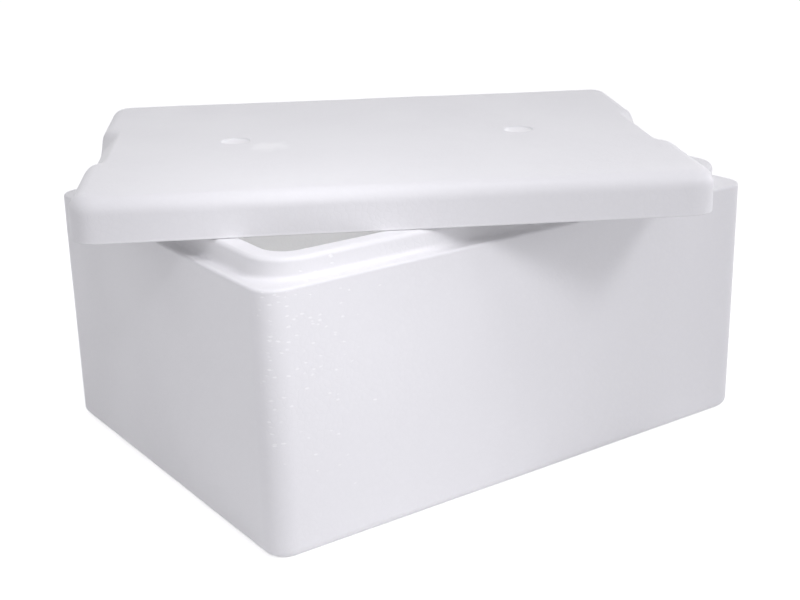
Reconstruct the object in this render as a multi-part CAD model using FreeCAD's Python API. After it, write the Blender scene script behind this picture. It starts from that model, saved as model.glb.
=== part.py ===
import FreeCAD, Part
import math
import os

V = FreeCAD.Vector

# An insulated foam box: a one-piece moulded tub and a loose lid, which lies turned on the tub's lip.
# Millimetres. The origin is at the middle of the tub's base, X along its long side, Z up.

# Tub, outside
LENGTH = 400.0
WIDTH = 300.0
TUB_HEIGHT = 172.0
CORNER_RADIUS = 16.0
BASE_EDGE_RADIUS = 6.0

# Rim: an outer ledge, and an inner lip that stands above it
LEDGE_WIDTH = 10.0
LEDGE_EDGE_RADIUS = 2.0
LIP_HEIGHT = 13.0
LIP_THICKNESS = 14.0
LIP_CORNER_RADIUS = 27.0
LIP_EDGE_RADIUS = 3.0
LIP_ROOT_RADIUS = 2.5

# Tub, inside
FLOOR_THICKNESS = 25.0
CAVITY_CORNER_RADIUS = 16.0
CAVITY_FLOOR_RADIUS = 10.0
CAVITY_TAPER = 3.0

# Lid: a plate with a skirt that comes down outside the lip
LID_LENGTH = 398.0
LID_WIDTH = 300.0
LID_THICKNESS = 28.0
LID_TOP_RADIUS = 10.0
LID_FOOT_RADIUS = 1.5
LIP_SIDE_CLEARANCE = 1.0
LIP_TOP_CLEARANCE = 0.5
RECESS_ROOF_RADIUS = 4.0

# Finger notches in the lid's short ends
NOTCH_LENGTH = 110.0
NOTCH_DEPTH = 16.5
NOTCH_HEIGHT = 16.0
NOTCH_MOUTH_RADIUS = 10.0
NOTCH_INNER_RADIUS = 5.0
# The most of the notch's depth that each of the two radii may take
MOUTH_SHARE = 0.62
INNER_SHARE = 0.35

# Round moulding marks on the lid's top
MARK_RADIUS = 9.5
MARK_DEPTH = 3.0
MARK_SPACING = 200.0

# How the lid lies on the open tub
LID_TURN_DEGREES = -29.5
LID_SHIFT_X = -18.0
LID_SHIFT_Y = -1.4

# A cut runs this far past the face it opens
OVERRUN = 5.0
# Edges are found by their place to within this
TOLERANCE = 0.001


def rounded_rectangle(length, width, radius, z):
    """A closed wire, centred on the Z axis, with its four corners as true arcs."""
    half_x = length / 2
    half_y = width / 2
    edges = []
    previous = None
    first = None
    for sign_x, sign_y, start in ((1, 1, 0), (-1, 1, 90), (-1, -1, 180), (1, -1, 270)):
        centre = V(sign_x * (half_x - radius), sign_y * (half_y - radius), z)
        arc = Part.makeCircle(radius, centre, V(0, 0, 1), start, start + 90)
        if previous is not None:
            edges.append(Part.makeLine(previous, arc.Vertexes[0].Point))
        else:
            first = arc.Vertexes[0].Point
        edges.append(arc)
        previous = arc.Vertexes[-1].Point
    edges.append(Part.makeLine(previous, first))
    return Part.Wire(edges)


def rounded_block(length, width, radius, bottom, top):
    """An upright prism on a rounded rectangle."""
    face = Part.Face(rounded_rectangle(length, width, radius, bottom))
    return face.extrude(V(0, 0, top - bottom))


def edges_at(shape, z):
    """The level edges of a shape that lie wholly at one height."""
    return [edge for edge in shape.Edges
            if abs(edge.BoundBox.ZMin - z) < TOLERANCE and abs(edge.BoundBox.ZMax - z) < TOLERANCE]


def within(edges, length, width):
    """Those of the edges that lie inside a rectangle centred on the Z axis, or on its border."""
    chosen = []
    for edge in edges:
        box = edge.BoundBox
        reach_x = max(abs(box.XMin), abs(box.XMax))
        reach_y = max(abs(box.YMin), abs(box.YMax))
        if reach_x < length / 2 + TOLERANCE and reach_y < width / 2 + TOLERANCE:
            chosen.append(edge)
    return chosen


def make_tub():
    """The tub: walls and floor in one moulding, with a stepped rim."""
    lip_top = TUB_HEIGHT + LIP_HEIGHT
    body = rounded_block(LENGTH, WIDTH, CORNER_RADIUS, 0, TUB_HEIGHT)
    body = body.makeFillet(BASE_EDGE_RADIUS, edges_at(body, 0))
    body = body.makeFillet(LEDGE_EDGE_RADIUS, edges_at(body, TUB_HEIGHT))

    lip_length = LENGTH - 2 * LEDGE_WIDTH
    lip_width = WIDTH - 2 * LEDGE_WIDTH
    lip = rounded_block(lip_length, lip_width, LIP_CORNER_RADIUS, FLOOR_THICKNESS, lip_top)
    lip = lip.makeFillet(LIP_EDGE_RADIUS, edges_at(lip, lip_top))
    tub = body.fuse(lip).removeSplitter()
    tub = tub.makeFillet(LIP_ROOT_RADIUS, within(edges_at(tub, TUB_HEIGHT), lip_length, lip_width))

    cavity_length = lip_length - 2 * LIP_THICKNESS
    cavity_width = lip_width - 2 * LIP_THICKNESS
    mouth = rounded_rectangle(cavity_length, cavity_width, CAVITY_CORNER_RADIUS, lip_top)
    foot = rounded_rectangle(cavity_length - 2 * CAVITY_TAPER, cavity_width - 2 * CAVITY_TAPER,
                             CAVITY_CORNER_RADIUS, FLOOR_THICKNESS)
    cavity = Part.makeLoft([foot, mouth], True, True)
    cavity = cavity.makeFillet(CAVITY_FLOOR_RADIUS, edges_at(cavity, FLOOR_THICKNESS))
    return tub.cut(cavity)


def make_notch_cutter():
    """What a finger notch takes from the lid's +X end: open upwards, with a floor that slopes inwards."""
    end = LID_LENGTH / 2
    inner = end - NOTCH_DEPTH
    half = NOTCH_LENGTH / 2
    outside = end + OVERRUN
    mouth = min(NOTCH_MOUTH_RADIUS, NOTCH_DEPTH * MOUTH_SHARE)
    hollow = min(NOTCH_INNER_RADIUS, NOTCH_DEPTH * INNER_SHARE)

    # Half of the plan, from the mouth to the middle; the other half mirrors it
    mouth_centre = V(end - mouth, half + mouth, 0)
    hollow_centre = V(inner + hollow, half - hollow, 0)
    diagonal = math.sqrt(0.5)
    points = [V(outside, half + mouth, 0),
              V(end, half + mouth, 0),
              mouth_centre + V(mouth * diagonal, -mouth * diagonal, 0),
              V(end - mouth, half, 0),
              V(inner + hollow, half, 0),
              hollow_centre + V(-hollow * diagonal, hollow * diagonal, 0),
              V(inner, half - hollow, 0)]
    mirrored = [V(point.x, -point.y, 0) for point in points]
    edges = []
    for side in (points, mirrored):
        edges.append(Part.makeLine(side[0], side[1]))
        edges.append(Part.Arc(side[1], side[2], side[3]).toShape())
        edges.append(Part.makeLine(side[3], side[4]))
        edges.append(Part.Arc(side[4], side[5], side[6]).toShape())
    edges.append(Part.makeLine(points[6], mirrored[6]))
    edges.append(Part.makeLine(mirrored[0], points[0]))
    plan = Part.Face(Part.Wire(Part.__sortEdges__(edges)))
    column = plan.extrude(V(0, 0, LID_THICKNESS + OVERRUN))

    # The sloping floor: from the mouth's sill up to the lid's top at the notch's inner edge
    slope = NOTCH_HEIGHT / NOTCH_DEPTH
    sill = LID_THICKNESS - NOTCH_HEIGHT
    reach = half + mouth + OVERRUN
    profile = Part.makePolygon([V(outside, -reach, sill - OVERRUN * slope),
                                V(outside, -reach, LID_THICKNESS + 2 * OVERRUN),
                                V(inner - OVERRUN, -reach, LID_THICKNESS + 2 * OVERRUN),
                                V(inner - OVERRUN, -reach, LID_THICKNESS + OVERRUN * slope),
                                V(outside, -reach, sill - OVERRUN * slope)])
    above_floor = Part.Face(profile).extrude(V(0, 2 * reach, 0))
    return column.common(above_floor)


def make_lid():
    """The lid in its own frame: standing on its skirt, centred on the Z axis."""
    lid = rounded_block(LID_LENGTH, LID_WIDTH, CORNER_RADIUS, 0, LID_THICKNESS)
    lid = lid.makeFillet(LID_TOP_RADIUS, edges_at(lid, LID_THICKNESS))
    lid = lid.makeFillet(LID_FOOT_RADIUS, edges_at(lid, 0))

    recess_length = LENGTH - 2 * LEDGE_WIDTH + 2 * LIP_SIDE_CLEARANCE
    recess_width = WIDTH - 2 * LEDGE_WIDTH + 2 * LIP_SIDE_CLEARANCE
    recess_corner = LIP_CORNER_RADIUS + LIP_SIDE_CLEARANCE
    recess_height = LIP_HEIGHT + LIP_TOP_CLEARANCE
    recess = rounded_block(recess_length, recess_width, recess_corner, -OVERRUN, recess_height)
    recess = recess.makeFillet(RECESS_ROOF_RADIUS, edges_at(recess, recess_height))
    lid = lid.cut(recess)

    notch = make_notch_cutter()
    opposite = notch.copy()
    opposite.rotate(V(0, 0, 0), V(0, 0, 1), 180)
    lid = lid.cut(notch).cut(opposite)

    for side in (-1, 1):
        place = V(side * MARK_SPACING / 2, 0, LID_THICKNESS - MARK_DEPTH)
        lid = lid.cut(Part.makeCylinder(MARK_RADIUS, MARK_DEPTH + OVERRUN, place))
    return lid


def lay_on_lip(lid):
    """Turns the lid and sets its skirt flat on the top of the tub's lip."""
    laid = lid.copy()
    laid.rotate(V(0, 0, 0), V(0, 0, 1), LID_TURN_DEGREES)
    laid.translate(V(LID_SHIFT_X, LID_SHIFT_Y, TUB_HEIGHT + LIP_HEIGHT))
    return laid


os.makedirs("parts", exist_ok=True)
pieces = {
    "tub": make_tub(),
    "lid": lay_on_lip(make_lid()),
}
for name, shape in pieces.items():
    shape.exportStep("parts/" + name + ".step")
    print(name, shape.ShapeType, len(shape.Solids), shape.isValid(), round(shape.Volume), shape.BoundBox)
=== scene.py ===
import bpy
import math
import numpy as np
from mathutils import Matrix, Vector


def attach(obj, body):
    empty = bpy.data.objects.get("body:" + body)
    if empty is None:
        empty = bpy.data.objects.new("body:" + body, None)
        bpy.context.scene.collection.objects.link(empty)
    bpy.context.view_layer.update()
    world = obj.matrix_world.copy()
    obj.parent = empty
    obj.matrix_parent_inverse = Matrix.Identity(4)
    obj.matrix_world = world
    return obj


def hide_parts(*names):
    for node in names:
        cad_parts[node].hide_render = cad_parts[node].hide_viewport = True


# A white bead-foam box whose loose lid lies turned on its rim.
# Shapes are worked out in millimetres and turned into metres when a mesh is made.

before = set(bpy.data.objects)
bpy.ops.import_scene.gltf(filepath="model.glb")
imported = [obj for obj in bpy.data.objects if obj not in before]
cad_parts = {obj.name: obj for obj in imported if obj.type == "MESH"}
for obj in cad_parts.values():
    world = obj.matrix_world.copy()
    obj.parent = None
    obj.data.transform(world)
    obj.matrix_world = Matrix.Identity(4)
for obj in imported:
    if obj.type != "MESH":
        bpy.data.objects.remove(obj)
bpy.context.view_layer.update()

MM = 0.001

# Sizes of the two mouldings, as half lengths along X and Y, corner radii and heights
TUB_X, TUB_Y, TUB_R, TUB_TOP = 200.0, 150.0, 16.0, 172.0
BASE_R = 6.0
LEDGE, LEDGE_R = 10.0, 2.0
LIP_X, LIP_Y, LIP_CORNER, LIP_TOP = 190.0, 140.0, 27.0, 185.0
LIP_WALL, LIP_R, LIP_ROOT = 14.0, 3.0, 2.5
INNER_R, FLOOR, FLOOR_R, TAPER = 16.0, 25.0, 10.0, 3.0

LID_X, LID_Y, LID_R, LID_H = 199.0, 150.0, 16.0, 28.0
LID_ROUND, LID_FOOT = 10.0, 0.9
RECESS_X, RECESS_Y, RECESS_R, RECESS_H, RECESS_ROOF = 191.0, 141.0, 28.0, 13.5, 4.0
NOTCH_HALF, NOTCH_DEPTH, NOTCH_REACH, NOTCH_DROP = 55.0, 16.5, 13.5, 16.0
NOTCH_MOUTH, NOTCH_INNER = 10.0, 5.0
NOTCH_SLANT_FROM, NOTCH_SLANT_TO = 1.0, -20.0
# A ring bends fully this near to a notch's end, and then less and less over the second length
NOTCH_NEAR, NOTCH_FADE = 8.0, 24.0
# The notch's floor drops a little more over its sill, and its meeting with the lid's top is eased
SILL_DROP, SILL_REACH, TOP_EASE = 0.9, 2.0, 2.6
# What counts as the lid's end: past this X, and clear of the corners by the second length
END_X, END_CLEAR = 150.0, 20.0
MARK_X, MARK_R, MARK_DROP, MARK_WALL = 100.0, 9.5, 3.0, 0.9
# The top's grid is opened this far beyond a mark's outermost circle
MARK_ROOM = 2.5
LID_TURN, LID_AT = math.radians(-29.5), (-18.0, -1.4, 185.0)

# Points this near to the middle of a side keep their place on every ring; the lid's ends hold more of them
HELD, HELD_END = 20.0, 85.0

# The skin's unevenness: the size of each kind of wave and how deep it sinks, what all of the skin sinks,
# and how much of it is kept from faces that lie on something
WAVES = ((46.0, 0.34), (15.0, 0.16), (4.6, 0.10))
SINK, CALM = 0.03, 0.85

# Wear on the tub's front: its reach from the left edge, its band behind the front, its foot and its rise
WEAR_REACH, WEAR_BAND, WEAR_FOOT, WEAR_RISE = 95.0, 11.0, 30.0, 110.0
# The rubbed patch on the lid's top: its middle, half lengths and strength
RUBBED_X, RUBBED_Y, RUBBED_A, RUBBED_B, RUBBED_SHARE = -77.0, -22.0, 15.0, 16.0, 0.8
# Colours of the foam's seams and beads, and a paler white: the rubbed patch's own colour, and a painted
# highlight on the marks and the worn dents
SEAM_COLOUR = (0.869, 0.867, 0.873, 1)
BEAD_COLOUR = (0.889, 0.887, 0.893, 1)
BARE_AND_HIGHLIGHT_COLOUR = (0.98, 0.98, 0.98, 1)
# How far the lid's foam texture is moved against the tub's, in metres
LID_TEXTURE = 3.7


def smooth_noise(points, cell, seed):
    """Value noise between -1 and 1 at points in millimetres, from a seeded lattice of the given cell."""
    size = 64
    lattice = np.random.default_rng(seed).uniform(-1, 1, (size, size, size))
    # The shift keeps the object's middle planes off the lattice's
    shift = 17.3
    scaled = points / cell + shift
    base = np.floor(scaled).astype(int)
    t = scaled - base
    t = t * t * (3 - 2 * t)
    total = np.zeros(len(points))
    for dx in (0, 1):
        for dy in (0, 1):
            for dz in (0, 1):
                weight = (np.where(dx, t[:, 0], 1 - t[:, 0]) * np.where(dy, t[:, 1], 1 - t[:, 1])
                          * np.where(dz, t[:, 2], 1 - t[:, 2]))
                total += weight * lattice[(base[:, 0] + dx) % size,
                                          (base[:, 1] + dy) % size,
                                          (base[:, 2] + dz) % size]
    return total


def spread(start, stop, near, far, reach):
    """Positions between start and stop, near apart within reach of either end and far apart between."""
    out = [start]
    while out[-1] < stop - 1e-9:
        here = out[-1]
        side = min(here - start, stop - here)
        share = min(max(side / reach, 0.0), 1.0)
        out.append(here + near + (far - near) * share)
    out = np.array(out)
    return start + (out - start) * (stop - start) / (out[-1] - start)


class Plan:
    """How the points of every ring of a moulding are shared out round its outline.
    Each side has its straight half length on the outer ring, its places along it, and the half length that
    keeps its places on every ring; what lies beyond that is squeezed on shorter rings."""

    def __init__(self, side_x, side_y, arc):
        self.side_x = side_x
        self.side_y = side_y
        self.arc = arc
        self.nx = arc + len(side_x[1]) + 1
        self.ny = arc + len(side_y[1]) + 1

    def ring(self, a, b, r, z):
        """A ring at half lengths a and b, anticlockwise from the middle of the corner at low x, low y."""
        xs = self.places(self.side_x, a - r)
        ys = self.places(self.side_y, b - r)
        half = self.arc // 2
        points = []

        def corner(cx, cy, start):
            for k in range(half):
                angle = math.radians(start + 45.0 * k / half)
                points.append((cx + r * math.cos(angle), cy + r * math.sin(angle)))

        cx, cy = a - r, b - r
        corner(-cx, -cy, 225)
        points.append((-cx, -b))
        points.extend((x, -b) for x in xs)
        corner(cx, -cy, 270)
        corner(cx, -cy, 315)
        points.append((a, -cy))
        points.extend((a, y) for y in ys)
        corner(cx, cy, 0)
        corner(cx, cy, 45)
        points.append((cx, b))
        points.extend((x, b) for x in xs[::-1])
        corner(-cx, cy, 90)
        corner(-cx, cy, 135)
        points.append((-a, cy))
        points.extend((-a, y) for y in ys[::-1])
        corner(-cx, -cy, 180)
        flat = np.array(points)
        return np.column_stack([flat, np.full(len(flat), float(z))])

    def places(self, side, half):
        """The places along a side whose straight half length is half."""
        outer, along, held = side
        size = np.abs(along)
        moved = held + (size - held) * (half - held) / (outer - held)
        return np.where(size > held, np.sign(along) * moved, along)


def patch(plan, ring):
    """The grid that fills a ring, as rows of points, with the ring as its border."""
    nx, ny = plan.nx, plan.ny
    low = ring[:nx + 1]
    right = ring[nx:nx + ny + 1]
    high = ring[nx + ny:2 * nx + ny + 1][::-1]
    left = np.vstack([ring[2 * nx + ny:], ring[:1]])[::-1]
    u = ((low[:, 0] - low[0, 0]) / (low[-1, 0] - low[0, 0]))[None, :, None]
    v = ((right[:, 1] - right[0, 1]) / (right[-1, 1] - right[0, 1]))[:, None, None]
    grid = (1 - v) * low[None] + v * high[None] + (1 - u) * left[:, None] + u * right[:, None]
    grid -= ((1 - u) * (1 - v) * low[0] + u * (1 - v) * low[-1] + (1 - u) * v * high[0] + u * v * high[-1])
    return grid


def border_index(plan, offset):
    """For each place of a patch's grid, the index of the ring's vertex there, or -1 inside."""
    nx, ny = plan.nx, plan.ny
    count = 2 * (nx + ny)
    index = -np.ones((ny + 1, nx + 1), int)
    for i in range(nx + 1):
        index[0, i] = offset + i
        index[ny, nx - i] = offset + (nx + ny + i) % count
    for j in range(ny + 1):
        index[j, nx] = offset + (nx + j) % count
        index[ny - j, 0] = offset + (2 * nx + ny + j) % count
    return index


def moulding(plan, rings, holes=()):
    """Vertices and quads of a closed shell: a patch that faces down, the rings, and a patch that faces up.
    holes are round recesses in the last patch, each as (x, y, rings of radius and height)."""
    count = len(rings[0])
    verts = [np.vstack(rings)]
    faces = []
    around = np.arange(count)
    after = (around + 1) % count
    for k in range(len(rings) - 1):
        low, high = k * count, (k + 1) * count
        faces.append(np.column_stack([low + around, low + after, high + after, high + around]))
    total = count * len(rings)
    fans = []
    for last, ring in ((False, rings[0]), (True, rings[-1])):
        grid = patch(plan, ring)
        index = border_index(plan, (len(rings) - 1) * count if last else 0)
        inside = index < 0
        index[inside] = total + np.arange(inside.sum())
        verts.append(grid[inside])
        total += int(inside.sum())
        quads = np.stack([index[:-1, :-1], index[:-1, 1:], index[1:, 1:], index[1:, :-1]], axis=-1)
        keep = np.ones(quads.shape[:2], bool)
        if last:
            for cx, cy, circles in holes:
                reach = circles[0][0] + MARK_ROOM
                columns = np.nonzero(np.abs(grid[grid.shape[0] // 2, :, 0] - cx) < reach)[0]
                rows = np.nonzero(np.abs(grid[:, grid.shape[1] // 2, 1] - cy) < reach)[0]
                i0, i1, j0, j1 = columns[0], columns[-1], rows[0], rows[-1]
                keep[j0:j1, i0:i1] = False
                loop = ([(j0, i) for i in range(i0, i1)] + [(j, i1) for j in range(j0, j1)]
                        + [(j1, i) for i in range(i1, i0, -1)] + [(j, i0) for j in range(j1, j0, -1)])
                edge = np.array([index[j, i] for j, i in loop])
                start = grid[[j for j, i in loop], [i for j, i in loop]]
                angle = np.arctan2(start[:, 1] - cy, start[:, 0] - cx)
                before = edge
                for radius, z in circles:
                    here = total + np.arange(len(edge))
                    verts.append(np.column_stack([cx + radius * np.cos(angle), cy + radius * np.sin(angle),
                                                  np.full(len(edge), z)]))
                    total += len(edge)
                    faces.append(np.column_stack([before, np.roll(before, -1), np.roll(here, -1), here]))
                    before = here
                verts.append(np.array([[cx, cy, circles[-1][1]]]))
                fans.append(np.column_stack([before, np.roll(before, -1), np.full(len(edge), total)]))
                total += 1
        quads = quads[keep]
        faces.append(quads if last else quads[:, ::-1])
    return np.vstack(verts), np.vstack(faces), fans


def make_mesh(name, verts, faces, fans):
    """A smooth object from vertices in millimetres, quads, and the triangles at the middle of each mark."""
    mesh = bpy.data.meshes.new(name)
    polygons = faces.tolist() + [triangle for fan in fans for triangle in fan.tolist()]
    mesh.from_pydata((verts * MM).tolist(), [], polygons)
    mesh.update()
    mesh.polygons.foreach_set("use_smooth", np.ones(len(mesh.polygons), bool))
    obj = bpy.data.objects.new(name, mesh)
    bpy.context.scene.collection.objects.link(obj)
    return obj


def vertex_normals(mesh):
    """The mesh's normals as one row for each vertex."""
    out = np.zeros(len(mesh.vertices) * 3, np.float32)
    mesh.vertex_normals.foreach_get("vector", out)
    return out.reshape(-1, 3).astype(float)


def settle(obj, verts, calm, seed):
    """Sinks the skin a little, unevenly, as moulded foam does. calm is 1 where the skin stays true."""
    normals = vertex_normals(obj.data)
    depth = np.zeros(len(verts))
    for step, (cell, deep) in enumerate(WAVES):
        depth += deep * (0.5 + 0.5 * smooth_noise(verts, cell, seed + step))
    depth = depth * (1 - calm) + SINK
    moved = verts - normals * depth[:, None]
    obj.data.vertices.foreach_set("co", (moved * MM).astype(np.float32).ravel())
    obj.data.update()
    return moved


def arc_steps(n):
    """The angles from 0 to 90 degrees in n equal steps."""
    return [math.radians(90.0 * k / n) for k in range(n + 1)]


def make_tub():
    """The tub's skin, from its base up the outside, over the rim and down into the cavity."""
    straight_x, straight_y = TUB_X - TUB_R, TUB_Y - TUB_R
    xs = spread(-straight_x, straight_x, near=1.5, far=4.6, reach=60)[1:-1]
    ys = spread(-straight_y, straight_y, near=1.5, far=4.6, reach=60)[1:-1]
    plan = Plan((straight_x, xs, HELD), (straight_y, ys, HELD), arc=10)
    rings = []

    def add(a, b, r, z):
        rings.append(plan.ring(a, b, r, z))

    # Base and outer walls
    add(TUB_X - BASE_R - 2, TUB_Y - BASE_R - 2, TUB_R - BASE_R - 1, 0)
    for t in arc_steps(5):
        inset = BASE_R * (1 - math.sin(t))
        add(TUB_X - inset, TUB_Y - inset, TUB_R - inset, BASE_R * (1 - math.cos(t)))
    for z in spread(BASE_R, TUB_TOP - LEDGE_R, near=0.7, far=3.2, reach=16)[1:-1]:
        add(TUB_X, TUB_Y, TUB_R, z)

    # Ledge, whose corners widen towards the lip's
    for t in arc_steps(4):
        inset = LEDGE_R * (1 - math.cos(t))
        add(TUB_X - inset, TUB_Y - inset, TUB_R - inset, TUB_TOP - LEDGE_R * (1 - math.sin(t)))
    for inset in (2.6, 4.8, LEDGE - LIP_ROOT - 0.5, LEDGE - LIP_ROOT):
        share = inset / LEDGE
        add(TUB_X - inset, TUB_Y - inset, TUB_R - inset + (LIP_CORNER - TUB_R + LEDGE) * share, TUB_TOP)

    # Lip, from the hollow at its root to its rounded upper edge
    for t in arc_steps(5)[1:]:
        out = LIP_ROOT * (1 - math.sin(t))
        add(LIP_X + out, LIP_Y + out, LIP_CORNER + out, TUB_TOP + LIP_ROOT * (1 - math.cos(t)))
    for z in spread(TUB_TOP + LIP_ROOT, LIP_TOP - LIP_R, near=0.6, far=2.4, reach=4)[1:-1]:
        add(LIP_X, LIP_Y, LIP_CORNER, z)
    for t in arc_steps(6):
        inset = LIP_R * (1 - math.cos(t))
        add(LIP_X - inset, LIP_Y - inset, LIP_CORNER - inset, LIP_TOP - LIP_R * (1 - math.sin(t)))

    # Lip's top, with a softened inner edge
    soft = 1.2
    wall_x, wall_y = LIP_X - LIP_WALL, LIP_Y - LIP_WALL
    for inset in (3.7, 5.5, 7.6, 9.8, 11.4, LIP_WALL - soft - 0.6, LIP_WALL - soft):
        share = inset / LIP_WALL
        add(LIP_X - inset, LIP_Y - inset, LIP_CORNER + (INNER_R - LIP_CORNER) * share, LIP_TOP)
    for t in arc_steps(3)[1:]:
        out = soft * (1 - math.sin(t))
        add(wall_x + out, wall_y + out, INNER_R + out, LIP_TOP - soft * (1 - math.cos(t)))

    # Cavity, which narrows downwards
    depth = LIP_TOP - FLOOR

    def wall_at(z):
        return TAPER * (LIP_TOP - z) / depth

    for z in spread(FLOOR + FLOOR_R, LIP_TOP - soft, near=0.9, far=5.0, reach=14)[1:-1][::-1]:
        add(wall_x - wall_at(z), wall_y - wall_at(z), INNER_R, z)
    for t in arc_steps(6):
        rounded = FLOOR_R * (1 - math.cos(t))
        z = FLOOR + FLOOR_R * (1 - math.sin(t))
        inset = rounded + wall_at(z)
        add(wall_x - inset, wall_y - inset, INNER_R - rounded, z)
    inset = FLOOR_R + TAPER + 1.5
    add(wall_x - inset, wall_y - inset, INNER_R - FLOOR_R - 1, FLOOR)
    verts, faces, fans = moulding(plan, rings)
    obj = make_mesh("tub_skin", verts, faces, fans)
    calm = np.where((verts[:, 2] < 0.5) | (np.abs(verts[:, 2] - LIP_TOP) < 0.2), CALM, 0.0)
    settle(obj, verts, calm, seed=11)
    return obj


def notch_side(inset):
    """How far the notch's end wall stands from the middle of the end, at a distance in from the end plane."""
    place = NOTCH_HALF
    if inset < NOTCH_MOUTH:
        place += NOTCH_MOUTH - math.sqrt(NOTCH_MOUTH ** 2 - (NOTCH_MOUTH - inset) ** 2)
    start = NOTCH_DEPTH - NOTCH_INNER
    if inset > start:
        reach = min(inset, NOTCH_DEPTH) - start
        place -= NOTCH_INNER - math.sqrt(NOTCH_INNER ** 2 - reach ** 2)
    return place


def notch_share(s):
    """0 on the lid's top and 1 on the notch's floor, by the distance s outside the notch's end.
    The end slants down into the notch, rounded above and hollow below."""
    t = np.clip((NOTCH_SLANT_FROM - np.asarray(s, float)) / (NOTCH_SLANT_FROM - NOTCH_SLANT_TO), 0, 1)
    return t * t * (3 - 2 * t)


def notch_floor(inset):
    """Height of the notch's sloping floor, eased into the lid's top at its inner edge and over its sill."""
    slope = NOTCH_DROP / NOTCH_REACH
    height = LID_H - NOTCH_DROP + slope * inset
    height -= SILL_DROP * max(0.0, 1 - inset / SILL_REACH) ** 2
    h = max(TOP_EASE - abs(height - LID_H), 0.0) / TOP_EASE
    return min(height, LID_H) - h * h * TOP_EASE / 4


def cut_notches(ring, inset, warp, wall_top=None):
    """Bends a ring of the lid round and down into the two end notches. inset is how far in from the wall it
    lies. warp is how fully it follows the notch's curved sides, and wall_top the wall's full height, if it is
    on the wall."""
    side = notch_side(inset)
    y = ring[:, 1]
    size = np.abs(y)
    on_end = (np.abs(ring[:, 0]) > END_X) & (size < LID_Y - LID_R - END_CLEAR)
    gap = size - NOTCH_HALF
    fade = np.clip(1 - (np.abs(gap) - NOTCH_NEAR) / NOTCH_FADE, 0, 1) * warp
    moved = np.where(on_end, size + (side - NOTCH_HALF) * fade, size)
    share = np.where(on_end, notch_share(gap), 0.0)
    ring = ring.copy()
    ring[:, 1] = np.sign(y) * moved
    if wall_top is not None:
        sill = notch_floor(0)
        ring[:, 2] = ring[:, 2] * (1 - share * (1 - sill / wall_top) * (ring[:, 2] / wall_top))
    else:
        ring[:, 2] = ring[:, 2] * (1 - share) + np.minimum(notch_floor(inset), ring[:, 2]) * share
    return ring


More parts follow.
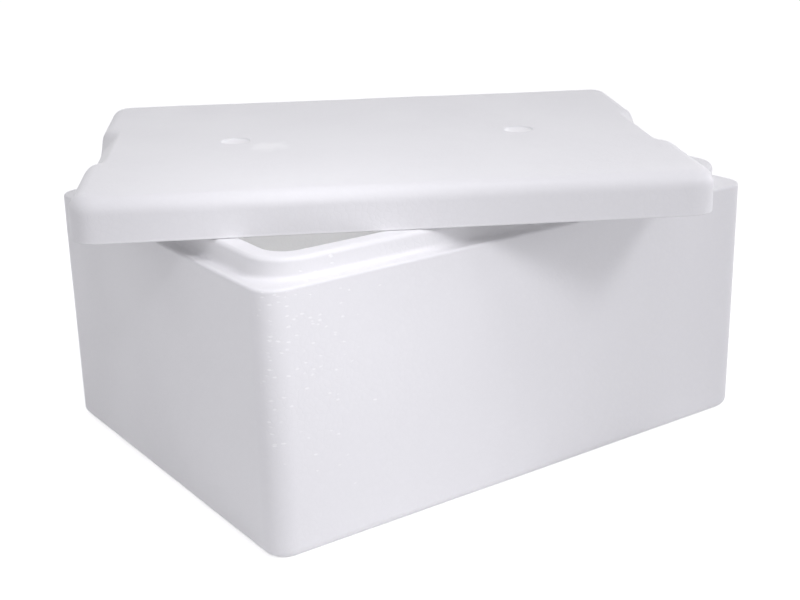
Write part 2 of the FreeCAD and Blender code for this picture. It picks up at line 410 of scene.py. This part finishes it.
def make_lid():
    """The lid's skin in its own frame, from the recess's roof down its walls, round the foot and up over the
    top. Returns it with the settled vertices."""
    straight_x, straight_y = LID_X - LID_R, LID_Y - LID_R
    xs = spread(-straight_x, straight_x, near=1.6, far=2.4, reach=40)[1:-1]
    # Places across a notch's end, close together where its slant bends
    near = np.array([-20, -15, -11.5, -8.6, -6.3, -4.6, -3.2, -2.0, -1.5, -1.0, -0.6, -0.3, -0.12, -0.03,
                     0.03, 0.2, 0.55, 1.1, 1.8, 2.6, 3.5, 4.5, 5.5, 6.8, 8.6, 11, 14])
    outer = spread(NOTCH_HALF + near[-1], straight_y, near=3.0, far=3.0, reach=10)[1:-1]
    middle = spread(-(NOTCH_HALF + near[0]), NOTCH_HALF + near[0], near=2.7, far=2.7, reach=10)[1:-1]
    ys = np.concatenate([-outer[::-1], -(NOTCH_HALF + near)[::-1], middle, NOTCH_HALF + near, outer])
    plan = Plan((straight_x, xs, HELD), (straight_y, ys, HELD_END), arc=8)
    rings = []

    def add(a, b, r, z):
        rings.append(plan.ring(a, b, r, z))

    # Recess, with a softened edge at its mouth
    roof = RECESS_ROOF
    add(RECESS_X - roof - 3, RECESS_Y - roof - 3, RECESS_R - roof - 2, RECESS_H)
    for t in arc_steps(4):
        inset = roof * (1 - math.sin(t))
        add(RECESS_X - inset, RECESS_Y - inset, RECESS_R - inset, RECESS_H - roof * (1 - math.cos(t)))
    soft = 0.6
    for z in (8.6, 5.0, 1.4):
        add(RECESS_X, RECESS_Y, RECESS_R, z)
    for t in arc_steps(2):
        out = soft * (1 - math.cos(t))
        add(RECESS_X + out, RECESS_Y + out, RECESS_R + out, soft * (1 - math.sin(t)))

    # Foot
    add((RECESS_X + LID_X) / 2 - 0.4, (RECESS_Y + LID_Y) / 2 - 0.4, LID_R - 2.2, 0)
    for t in arc_steps(3):
        inset = LID_FOOT * (1 - math.sin(t))
        add(LID_X - inset, LID_Y - inset, LID_R - inset, LID_FOOT * (1 - math.cos(t)))

    # Wall, broad round and the border of the top, all bent into the notches
    wall_top = LID_H - LID_ROUND
    for z, warp in ((2.4, 0.15), (4.6, 0.4), (7.4, 0.7), (10.4, 1.0), (13.2, 1.0), (15.8, 1.0),
                    (17.2, 1.0), (18.0, 1.0)):
        ring = plan.ring(LID_X, LID_Y, LID_R, z)
        rings.append(cut_notches(ring, 0.0, warp, wall_top))
    for t in arc_steps(9)[1:]:
        inset = LID_ROUND * (1 - math.cos(t))
        ring = plan.ring(LID_X - inset, LID_Y - inset, LID_R - inset, wall_top + LID_ROUND * math.sin(t))
        rings.append(cut_notches(ring, inset, 1.0))
    for inset, warp in ((10.6, 1), (11.6, 1), (12.7, 1), (13.8, 1), (14.8, 1), (15.7, 1), (16.5, 1),
                        (17.3, 1), (18.4, 1), (20.0, 0.8), (22.5, 0.45), (25.5, 0.1)):
        r = LID_R - LID_ROUND - (inset - LID_ROUND) * 0.22
        ring = plan.ring(LID_X - inset, LID_Y - inset, r, LID_H)
        rings.append(cut_notches(ring, inset, warp))

    # Each mark has a rounded brim, a short wall and a dished floor
    circles = [(12.0, LID_H), (10.5, LID_H), (10.1, LID_H - 0.08), (9.75, LID_H - 0.35),
               (MARK_R, LID_H - MARK_WALL)]
    for radius in (9.0, 8.2, 7.0, 5.6, 4.2, 2.8, 1.4):
        dish = (MARK_DROP - MARK_WALL) * (1 - (radius / MARK_R) ** 2)
        circles.append((radius, LID_H - MARK_WALL - dish))
    holes = [(side * MARK_X, 0.0, circles) for side in (-1, 1)]
    verts, faces, fans = moulding(plan, rings, holes)
    obj = make_mesh("lid_skin", verts, faces, fans)
    calm = np.where(verts[:, 2] < 0.5, CALM, 0.0)
    moved = settle(obj, verts, calm, seed=31)
    return obj, moved


def lay(obj):
    """Turns the lid and sets it on the tub's lip."""
    obj.data.transform(Matrix.Translation(Vector(LID_AT) * MM) @ Matrix.Rotation(LID_TURN, 4, "Z"))


def foam_material(name, shift):
    """Moulded bead foam: white cells with fine seams, and small dents where it is worn, painted paler as a
    painted highlight. shift moves the pattern, so that two mouldings don't share it."""
    material = bpy.data.materials.new(name)
    material.use_nodes = True
    tree = material.node_tree
    nodes, links = tree.nodes, tree.links
    shader = nodes["Principled BSDF"]
    shader.inputs["IOR"].default_value = 1.4

    def node(kind, **values):
        made = nodes.new(kind)
        for key, value in values.items():
            setattr(made, key, value)
        return made

    def maths(operation, first, second):
        made = node("ShaderNodeMath", operation=operation)
        for socket, value in ((0, first), (1, second)):
            if isinstance(value, (int, float)):
                made.inputs[socket].default_value = value
            else:
                links.new(value, made.inputs[socket])
        return made.outputs[0]

    def ramp(source, stops):
        """An eased curve through stops of place and grey value."""
        made = node("ShaderNodeValToRGB")
        made.color_ramp.interpolation = "EASE"
        elements = made.color_ramp.elements
        elements[0].position, elements[0].color = stops[0][0], (*[stops[0][1]] * 3, 1)
        elements[1].position, elements[1].color = stops[-1][0], (*[stops[-1][1]] * 3, 1)
        for position, value in stops[1:-1]:
            elements.new(position).color = (*[value] * 3, 1)
        links.new(source, made.inputs[0])
        return made.outputs[0]

    place = node("ShaderNodeTexCoord").outputs["Object"]
    move = node("ShaderNodeMapping")
    move.inputs["Location"].default_value = (shift, shift * 0.7, shift * 0.3)
    links.new(place, move.inputs["Vector"])

    # The cells are pushed about a little, so that their seams aren't straight
    stir = node("ShaderNodeTexNoise")
    stir.inputs["Scale"].default_value = 160
    links.new(move.outputs[0], stir.inputs["Vector"])
    bent = node("ShaderNodeVectorMath", operation="MULTIPLY_ADD")
    bent.inputs[1].default_value = (0.0022, 0.0022, 0.0022)
    links.new(stir.outputs["Color"], bent.inputs[0])
    links.new(move.outputs[0], bent.inputs[2])

    beads_per_metre = 235
    cells = node("ShaderNodeTexVoronoi", feature="DISTANCE_TO_EDGE")
    cells.inputs["Scale"].default_value = beads_per_metre
    links.new(bent.outputs[0], cells.inputs["Vector"])
    tone = node("ShaderNodeTexVoronoi", feature="F1")
    tone.inputs["Scale"].default_value = beads_per_metre
    links.new(bent.outputs[0], tone.inputs["Vector"])
    cloud = node("ShaderNodeTexNoise")
    cloud.inputs["Scale"].default_value = 14
    cloud.inputs["Detail"].default_value = 3
    links.new(move.outputs[0], cloud.inputs["Vector"])
    wear = node("ShaderNodeAttribute", attribute_name="wear").outputs["Fac"]
    bare_and_highlight = node("ShaderNodeAttribute", attribute_name="bare_and_highlight").outputs["Fac"]

    seam = ramp(cells.outputs["Distance"], [(0.0, 0.0), (0.12, 0.7), (0.4, 1.0)])
    patchy = ramp(cloud.outputs["Fac"], [(0.35, 0.15), (0.65, 1.0)])

    # Where the foam is worn it has small level dents; their paler colour is a painted highlight, standing for
    # their rims catching the light
    level = node("ShaderNodeMapping")
    level.inputs["Scale"].default_value = (1.0, 1.0, 2.1)
    links.new(bent.outputs[0], level.inputs["Vector"])
    dents = node("ShaderNodeTexVoronoi", feature="F1")
    dents.inputs["Scale"].default_value = 185
    links.new(level.outputs[0], dents.inputs["Vector"])
    dome = ramp(dents.outputs["Distance"], [(0.12, 1.0), (0.36, 0.0)])
    draw = node("ShaderNodeSeparateColor")
    links.new(dents.outputs["Color"], draw.inputs["Color"])
    chosen = maths("LESS_THAN", draw.outputs["Red"], maths("MULTIPLY", wear, 0.75))
    dent_and_highlight = maths("MULTIPLY", dome, chosen)

    shade = node("ShaderNodeMix", data_type="RGBA", blend_type="MIX")
    shade.inputs["A"].default_value = SEAM_COLOUR
    shade.inputs["B"].default_value = BEAD_COLOUR
    mixed = maths("ADD", maths("MULTIPLY", seam, 0.4), maths("MULTIPLY", tone.outputs["Color"], 0.35))
    mixed = maths("ADD", mixed, maths("MULTIPLY", cloud.outputs["Fac"], 0.3))
    links.new(mixed, shade.inputs["Factor"])
    # Painted highlight: the marks and the worn dents take the paler white; on the rubbed patch it is the
    # foam's own paler colour
    paler = node("ShaderNodeMix", data_type="RGBA", blend_type="MIX")
    paler.inputs["B"].default_value = BARE_AND_HIGHLIGHT_COLOUR
    links.new(maths("MAXIMUM", bare_and_highlight, dent_and_highlight), paler.inputs["Factor"])
    links.new(shade.outputs["Result"], paler.inputs["A"])
    links.new(paler.outputs["Result"], shader.inputs["Base Color"])
    links.new(ramp(cloud.outputs["Fac"], [(0.3, 0.38), (0.7, 0.50)]), shader.inputs["Roughness"])

    # Relief in millimetres: shallow seams between domed beads, and the dents
    relief = maths("MULTIPLY", maths("MULTIPLY", seam, patchy), 0.05)
    relief = maths("SUBTRACT", relief, maths("MULTIPLY", dent_and_highlight, 0.11))
    bump = node("ShaderNodeBump")
    bump.inputs["Strength"].default_value = 1.0
    bump.inputs["Distance"].default_value = 0.001
    links.new(relief, bump.inputs["Height"])
    links.new(bump.outputs["Normal"], shader.inputs["Normal"])
    return material


def set_share(obj, name, values):
    """Stores a share between 0 and 1 for each vertex, for the foam's material to read."""
    attribute = obj.data.attributes.new(name, "FLOAT", "POINT")
    attribute.data.foreach_set("value", np.clip(values, 0, 1).astype(np.float32))


tub = make_tub()
where = np.array([v.co for v in tub.data.vertices]) / MM
# Worn on the front near its left corner, most at the upper end; the dents there carry a painted highlight
beside = np.clip(1 - (TUB_X + where[:, 0]) / WEAR_REACH, 0, 1) ** 1.5 * (where[:, 1] < WEAR_BAND - TUB_Y)
height = np.clip((where[:, 2] - WEAR_FOOT) / WEAR_RISE, 0, 1)
set_share(tub, "wear", beside * height)
set_share(tub, "bare_and_highlight", np.zeros(len(where)))

lid, flat = make_lid()
set_share(lid, "wear", np.zeros(len(flat)))
# The marks are painted paler, a painted highlight for their lit walls and floors, and a rubbed patch on the
# top is paler foam, with a ragged soft border
from_mark = np.hypot(np.abs(flat[:, 0]) - MARK_X, flat[:, 1])
ragged = 0.25 * smooth_noise(flat, cell=5.0, seed=51)
from_patch = np.hypot((flat[:, 0] - RUBBED_X) / RUBBED_A, (flat[:, 1] - RUBBED_Y) / RUBBED_B)
rubbed = np.clip(1.6 * (1 + ragged - from_patch), 0, 1) * (flat[:, 2] > LID_H - 1)
set_share(lid, "bare_and_highlight", np.where(from_mark < MARK_R + 0.4, 1.0, RUBBED_SHARE * rubbed))
lay(lid)

for obj, material, node_name, slot_name in ((tub, foam_material("tub_foam", 0.0), "tub", "tub_foam"),
                                            (lid, foam_material("lid_foam", LID_TEXTURE), "lid", "lid_foam")):
    obj.data.materials.append(material)
    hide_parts(node_name)
    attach(obj, "root")


def unlit_white(tree, strength_seen):
    """A factor for rays from the camera, straight, by a reflection or through glass; 0 for all others."""
    path = tree.nodes.new("ShaderNodeLightPath")
    seen = path.outputs["Is Camera Ray"]
    for kind in ("Is Glossy Ray", "Is Transmission Ray"):
        either = tree.nodes.new("ShaderNodeMath")
        either.operation = "MAXIMUM"
        tree.links.new(seen, either.inputs[0])
        tree.links.new(path.outputs[kind], either.inputs[1])
        seen = either.outputs[0]
    scaled = tree.nodes.new("ShaderNodeMath")
    scaled.operation = "MULTIPLY"
    tree.links.new(seen, scaled.inputs[0])
    scaled.inputs[1].default_value = strength_seen
    return scaled.outputs[0]


def make_floor():
    """A wide pale floor that shows white to the camera and keeps the object's shadow."""
    mesh = bpy.data.meshes.new("floor")
    half = 14.0
    corners = [(-half, -half, 0), (half, -half, 0), (half, half, 0), (-half, half, 0)]
    mesh.from_pydata(corners, [], [(0, 1, 2, 3)])
    floor = bpy.data.objects.new("floor", mesh)
    bpy.context.scene.collection.objects.link(floor)
    material = bpy.data.materials.new("floor_paper")
    material.use_nodes = True
    tree = material.node_tree
    tree.nodes.clear()
    matte = tree.nodes.new("ShaderNodeBsdfDiffuse")
    matte.inputs["Color"].default_value = (0.9, 0.9, 0.9, 1)
    glow = tree.nodes.new("ShaderNodeEmission")
    tree.links.new(unlit_white(tree, FLOOR_GLOW), glow.inputs["Strength"])
    both = tree.nodes.new("ShaderNodeAddShader")
    tree.links.new(matte.outputs[0], both.inputs[0])
    tree.links.new(glow.outputs[0], both.inputs[1])
    out = tree.nodes.new("ShaderNodeOutputMaterial")
    tree.links.new(both.outputs[0], out.inputs["Surface"])
    mesh.materials.append(material)


def make_world():
    """Even light from all round at the strength of the sky, which itself shows white."""
    world = bpy.data.worlds.new("studio")
    bpy.context.scene.world = world
    world.use_nodes = True
    tree = world.node_tree
    background = tree.nodes["Background"]
    colour = tree.nodes.new("ShaderNodeMix")
    colour.data_type = "RGBA"
    tree.links.new(unlit_white(tree, 1.0), colour.inputs["Factor"])
    colour.inputs["A"].default_value = (*[SKY * tint for tint in DAYLIGHT], 1)
    colour.inputs["B"].default_value = (1, 1, 1, 1)
    tree.links.new(colour.outputs["Result"], background.inputs["Color"])


def lamp(name, place, target, size, watts, spread_degrees=180, tint=(1, 1, 1)):
    """A square soft lamp at a place, turned to a target; a narrow spread makes its edge fade."""
    light = bpy.data.lights.new(name, "AREA")
    light.shape = "SQUARE"
    light.size = size
    light.energy = watts
    light.spread = math.radians(spread_degrees)
    light.color = tint
    obj = bpy.data.objects.new(name, light)
    bpy.context.scene.collection.objects.link(obj)
    obj.location = place
    obj.rotation_euler = (Vector(place) - Vector(target)).to_track_quat("Z", "Y").to_euler()
    return obj


# The light is a little cooler than the foam
DAYLIGHT = (0.985, 0.975, 1.03)
SKY = 0.516
FLOOR_GLOW = 0.58
make_floor()
make_world()
# The key lamp fades to the right across the front
lamp("key_lamp", (0.28, -1.10, 0.99), target=(-0.19, -0.15, 0.12), size=0.35, watts=0.335,
     spread_degrees=42, tint=DAYLIGHT)
# The near lamp brightens the uncovered part of the rim
lamp("near_lamp", (-0.46, -0.68, 0.80), target=(-0.165, -0.13, 0.178), size=0.14, watts=0.023,
     spread_degrees=17, tint=DAYLIGHT)
lamp("top_lamp", (0.0, -0.40, 1.6), target=(0.0, -0.05, 0.2), size=0.35, watts=0.84,
     spread_degrees=90, tint=DAYLIGHT)
lamp("side_lamp", (1.25, -0.42, 0.42), target=(0.15, -0.12, 0.19), size=0.2, watts=0.38,
     spread_degrees=80, tint=DAYLIGHT)
# The foam lets light through on all sides; this stands for what gathers inside the covered tub
inner = lamp("inner_glow", (0.0, 0.0, 0.182), target=(0.0, 0.0, 0.0), size=0.2, watts=0.142)
inner.visible_camera = False

# The camera, as turns about the level and upright axes and about its own line of sight
YAW, PITCH, ROLL = 0.6070, 0.3297, 0.0226
CAMERA_AT = (-0.547363, -0.785923, 0.413156)
LENS, SENSOR = 61.342, 36.0
forward = Vector((math.cos(PITCH) * math.sin(YAW), math.cos(PITCH) * math.cos(YAW), -math.sin(PITCH)))
level = Vector((math.cos(YAW), -math.sin(YAW), 0))
below = forward.cross(level)
right = math.cos(ROLL) * level + math.sin(ROLL) * below
down = math.cos(ROLL) * below - math.sin(ROLL) * level
camera_data = bpy.data.cameras.new("camera")
camera_data.sensor_width = SENSOR
camera_data.lens = LENS
camera_data.clip_start = 0.02
camera_data.clip_end = 60
camera = bpy.data.objects.new("camera", camera_data)
bpy.context.scene.collection.objects.link(camera)
turn = Matrix((right, -down, -forward)).transposed().to_4x4()
camera.matrix_world = Matrix.Translation(CAMERA_AT) @ turn
bpy.context.scene.camera = camera

bpy.context.scene.view_settings.view_transform = "Standard"
